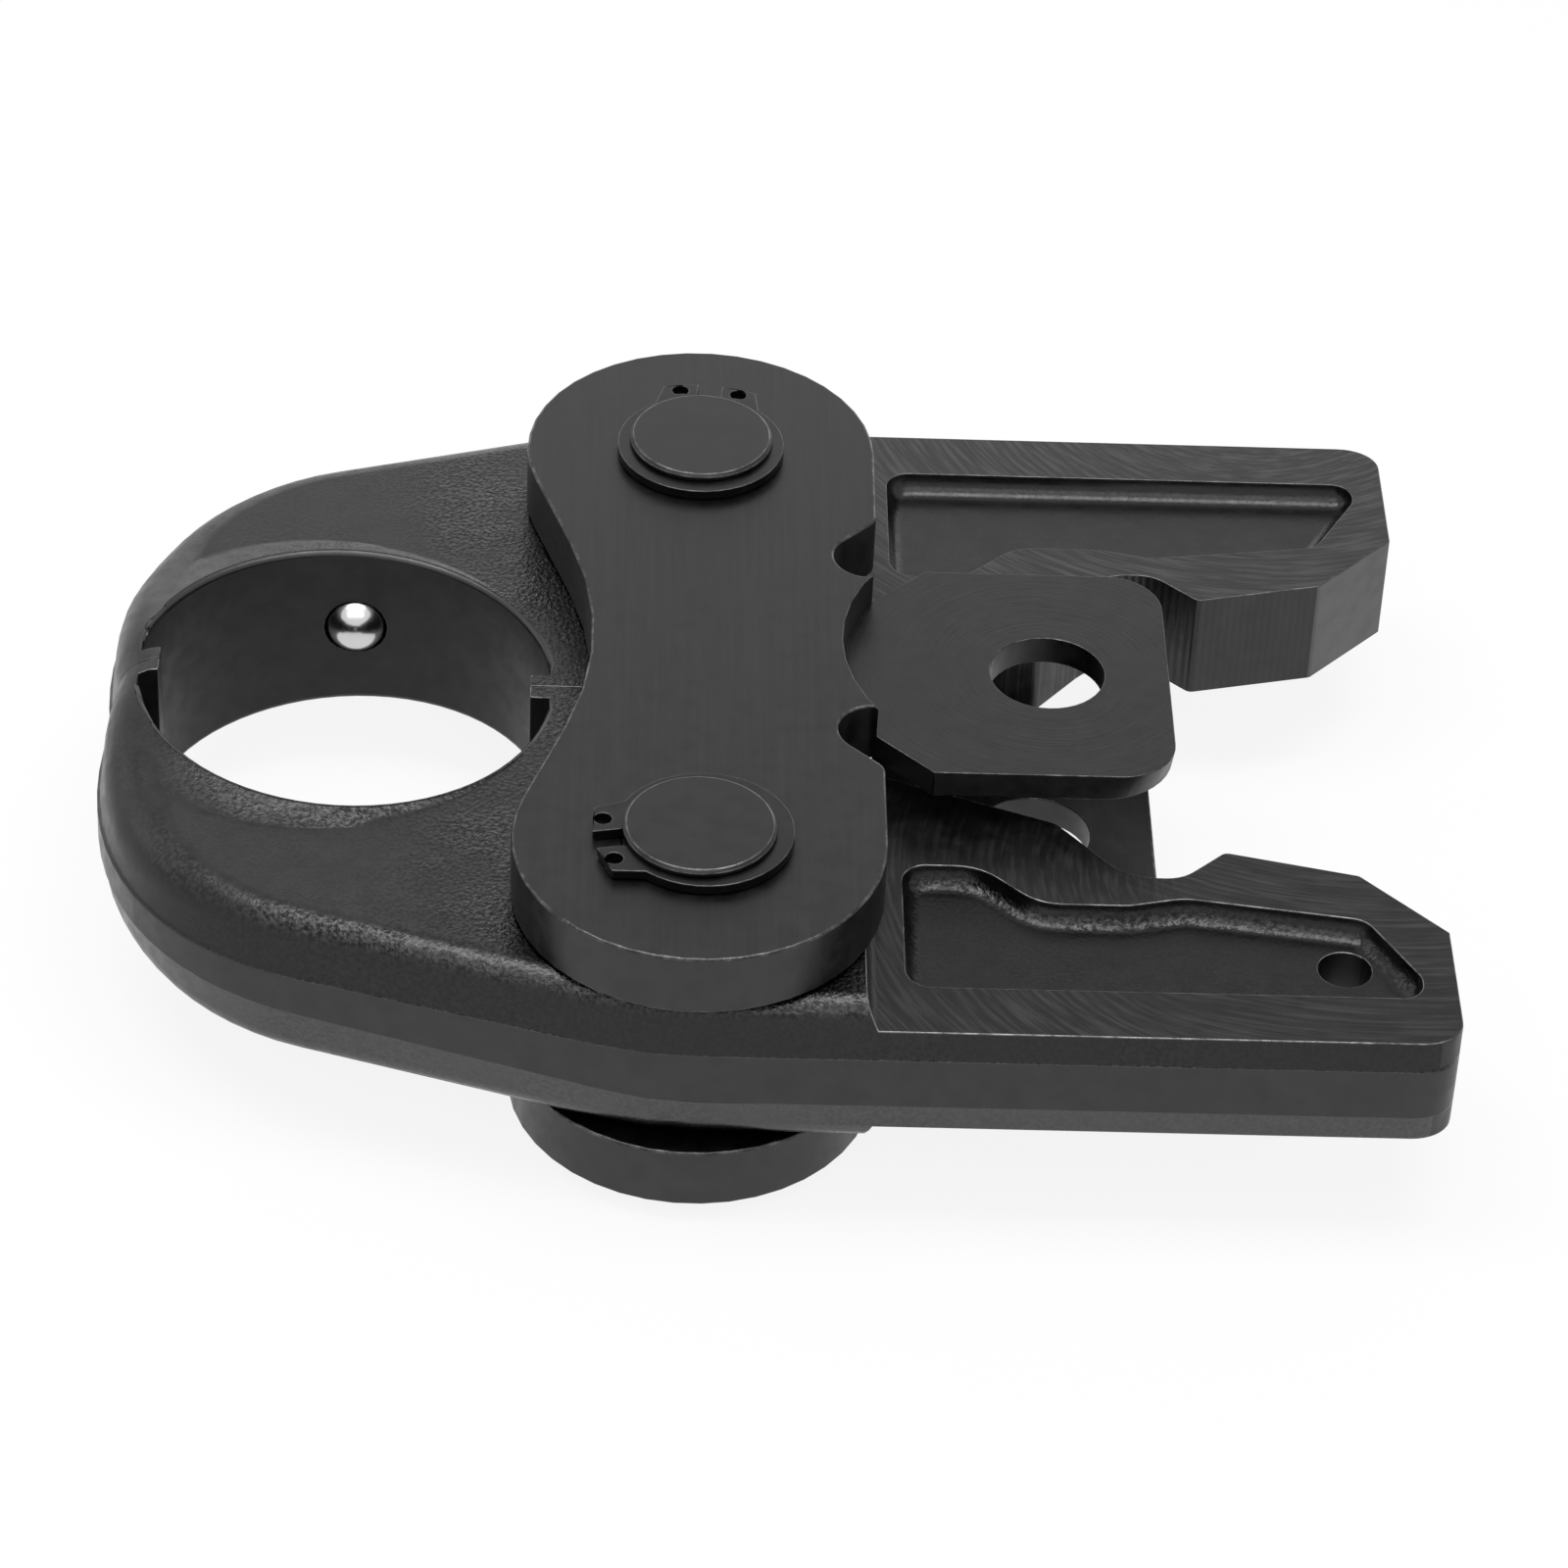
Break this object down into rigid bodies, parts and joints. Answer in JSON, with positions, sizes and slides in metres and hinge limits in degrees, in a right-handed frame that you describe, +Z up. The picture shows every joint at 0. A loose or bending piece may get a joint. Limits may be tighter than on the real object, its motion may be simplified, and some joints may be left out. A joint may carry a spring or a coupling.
{
  "type": "press jaw",
  "caption": "Base jaw of a hydraulic pipe press tool: forged jaw halves hinged on pins between side plates, with a bore for press inserts and arms that rollers drive apart.",
  "frame": {"origin": "on the surface under the lower ends of the pins, below the middle of the outline", "axes": "+X from the nose with the insert bore to the ends of the arms, +Y from the near jaw half to the far one across the parting plane, +Z up along the pins"},
  "size_m": [0.1612, 0.1222, 0.0422],
  "materials": {
    "plate_steel": "black oxide over a fine ground face, satin",
    "forged_steel": "black oxide, grainy as forged, with milled arms and a machined bore",
    "pin_steel": "black oxide, ground and turned",
    "clip_steel": "phosphated and oiled spring steel",
    "ball_steel": "polished bearing ball",
    "spring_steel": "bright drawn spring wire"
  },
  "bodies": {
    "frame": {"upper_plate": "plate_steel", "lower_plate": "plate_steel", "near_pin": "pin_steel", "far_pin": "pin_steel", "near_upper_circlip": "clip_steel", "near_lower_circlip": "clip_steel", "far_upper_circlip": "clip_steel", "far_lower_circlip": "clip_steel", "near_return_spring": "spring_steel", "far_return_spring": "spring_steel"},
    "near_jaw": {"near_jaw": "forged_steel", "near_detent_spring": "spring_steel"},
    "far_jaw": {"far_jaw": "forged_steel", "far_detent_spring": "spring_steel"},
    "near_ball": {"near_detent_ball": "ball_steel"},
    "far_ball": {"far_detent_ball": "ball_steel"}
  },
  "joints": [
    {"name": "near_jaw_pivot", "type": "hinge", "parent": "frame", "child": "near_jaw", "pos_m": [-0.00804, -0.0392, 0.0211], "axis": [0, 0, 1], "range_deg": [0, 20], "stiffness_Nm_per_rad": 1.4, "springref_deg": -32.09, "deforming": ["near_return_spring"]},
    {"name": "far_jaw_pivot", "type": "hinge", "parent": "frame", "child": "far_jaw", "pos_m": [-0.00804, 0.0392, 0.0211], "axis": [0, 0, -1], "range_deg": [0, 20], "stiffness_Nm_per_rad": 1.4, "springref_deg": -32.09, "deforming": ["far_return_spring"]},
    {"name": "near_ball_detent", "type": "slide", "parent": "near_jaw", "child": "near_ball", "axis": [0, -1, 0], "range_m": [0, 0.0022], "stiffness_N_per_m": 4000, "springref_m": -0.002, "deforming": ["near_detent_spring"]},
    {"name": "far_ball_detent", "type": "slide", "parent": "far_jaw", "child": "far_ball", "axis": [0, 1, 0], "range_m": [0, 0.0022], "stiffness_N_per_m": 4000, "springref_m": -0.002, "deforming": ["far_detent_spring"]}
  ]
}
